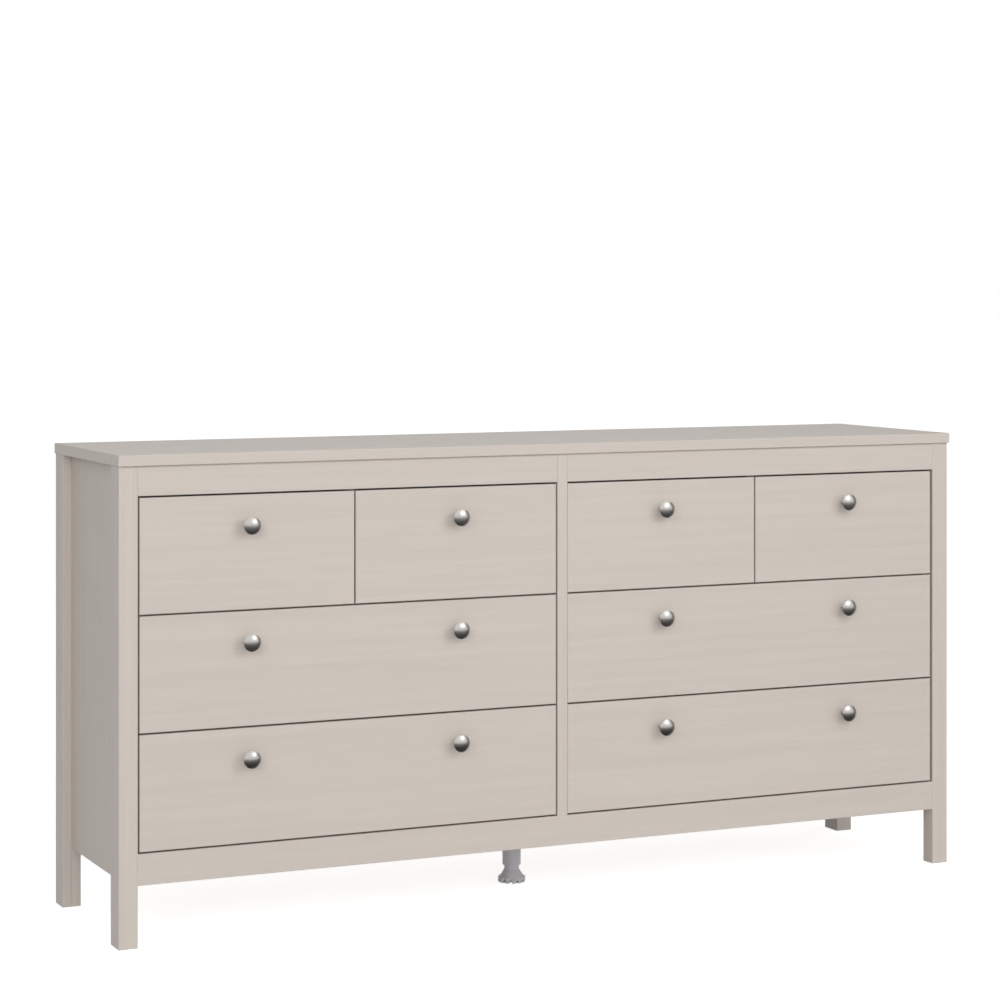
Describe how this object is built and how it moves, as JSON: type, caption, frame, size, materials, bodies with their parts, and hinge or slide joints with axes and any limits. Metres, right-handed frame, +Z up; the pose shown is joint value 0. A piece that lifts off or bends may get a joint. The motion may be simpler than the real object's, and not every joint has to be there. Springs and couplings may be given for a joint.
{
  "type": "dresser with drawers",
  "caption": "Low double dresser in warm grey wood-grain foil, small drawers over wide ones with round metal knobs, on straight corner legs and a centre levelling foot.",
  "frame": {"origin": "on the floor, below the middle of the outline including the knobs", "axes": "+X along the dresser's length to the right as seen from the front, +Y towards the back, +Z up; the drawers open towards -Y"},
  "size_m": [1.594, 0.4004, 0.797],
  "materials": {
    "grey_foil": "warm grey foil with a fine printed wood grain, matt",
    "box_foil": "plain pale foil on the drawer boxes, matt",
    "hardboard": "painted hardboard, matt",
    "satin_nickel": "satin nickel plating on cast zinc",
    "runner_plastic": "moulded plastic, satin",
    "foot_plastic": "grey moulded plastic, satin",
    "zinc_screw": "bright zinc plating",
    "beech": "turned beech dowel, raw"
  },
  "bodies": {
    "carcass": {"top_panel": "grey_foil", "centre_partition": "grey_foil", "front_apron": "grey_foil", "bottom_panel": "grey_foil", "left_front_leg": "grey_foil", "left_rear_leg": "grey_foil", "left_side_panel": "grey_foil", "left_top_rail": "grey_foil", "left_shelf": "grey_foil", "left_divider": "grey_foil", "right_front_leg": "grey_foil", "right_rear_leg": "grey_foil", "right_side_panel": "grey_foil", "right_top_rail": "grey_foil", "right_shelf": "grey_foil", "right_divider": "grey_foil", "left_back_panel": "hardboard", "right_back_panel": "hardboard", "small_drawer_runners": "runner_plastic", "wide_drawer_runners": "runner_plastic", "runner_screws": "zinc_screw", "foot_sleeve": "foot_plastic", "foot_screws": "zinc_screw", "cam_locks": "zinc_screw", "cam_bolts": "zinc_screw", "dowels": "beech"},
    "small_drawer_1": {"small_drawer_1_front": "grey_foil", "small_drawer_1_box": "box_foil", "small_drawer_1_bottom": "hardboard", "small_drawer_1_knob": "satin_nickel"},
    "small_drawer_2": {"small_drawer_2_front": "grey_foil", "small_drawer_2_box": "box_foil", "small_drawer_2_bottom": "hardboard", "small_drawer_2_knob": "satin_nickel"},
    "small_drawer_3": {"small_drawer_3_front": "grey_foil", "small_drawer_3_box": "box_foil", "small_drawer_3_bottom": "hardboard", "small_drawer_3_knob": "satin_nickel"},
    "small_drawer_4": {"small_drawer_4_front": "grey_foil", "small_drawer_4_box": "box_foil", "small_drawer_4_bottom": "hardboard", "small_drawer_4_knob": "satin_nickel"},
    "middle_left_drawer": {"middle_left_drawer_front": "grey_foil", "middle_left_drawer_box": "box_foil", "middle_left_drawer_bottom": "hardboard", "middle_left_drawer_knobs": "satin_nickel"},
    "middle_right_drawer": {"middle_right_drawer_front": "grey_foil", "middle_right_drawer_box": "box_foil", "middle_right_drawer_bottom": "hardboard", "middle_right_drawer_knobs": "satin_nickel"},
    "bottom_left_drawer": {"bottom_left_drawer_front": "grey_foil", "bottom_left_drawer_box": "box_foil", "bottom_left_drawer_bottom": "hardboard", "bottom_left_drawer_knobs": "satin_nickel"},
    "bottom_right_drawer": {"bottom_right_drawer_front": "grey_foil", "bottom_right_drawer_box": "box_foil", "bottom_right_drawer_bottom": "hardboard", "bottom_right_drawer_knobs": "satin_nickel"},
    "foot_spindle": {"foot_spindle": "foot_plastic"},
    "foot_base": {"foot_base": "foot_plastic"}
  },
  "joints": [
    {"name": "small_drawer_1_slide", "type": "slide", "parent": "carcass", "child": "small_drawer_1", "axis": [0, -1, 0], "range_m": [0, 0.25]},
    {"name": "small_drawer_2_slide", "type": "slide", "parent": "carcass", "child": "small_drawer_2", "axis": [0, -1, 0], "range_m": [0, 0.25]},
    {"name": "small_drawer_3_slide", "type": "slide", "parent": "carcass", "child": "small_drawer_3", "axis": [0, -1, 0], "range_m": [0, 0.25]},
    {"name": "small_drawer_4_slide", "type": "slide", "parent": "carcass", "child": "small_drawer_4", "axis": [0, -1, 0], "range_m": [0, 0.25]},
    {"name": "middle_left_drawer_slide", "type": "slide", "parent": "carcass", "child": "middle_left_drawer", "axis": [0, -1, 0], "range_m": [0, 0.25]},
    {"name": "middle_right_drawer_slide", "type": "slide", "parent": "carcass", "child": "middle_right_drawer", "axis": [0, -1, 0], "range_m": [0, 0.25]},
    {"name": "bottom_left_drawer_slide", "type": "slide", "parent": "carcass", "child": "bottom_left_drawer", "axis": [0, -1, 0], "range_m": [0, 0.25]},
    {"name": "bottom_right_drawer_slide", "type": "slide", "parent": "carcass", "child": "bottom_right_drawer", "axis": [0, -1, 0], "range_m": [0, 0.25]},
    {"name": "foot_height", "type": "slide", "parent": "carcass", "child": "foot_spindle", "axis": [0, 0, 1], "range_m": [-0.005, 0.005]},
    {"name": "foot_turn", "type": "hinge", "parent": "foot_spindle", "child": "foot_base", "pos_m": [-0.006, 0.019, 0.005], "axis": [0, 0, 1], "range_deg": [-360, 360]}
  ],
  "couplings": [
    {"joint": "foot_height", "follows": "foot_turn", "m_per_rad": 0.00079577}
  ]
}
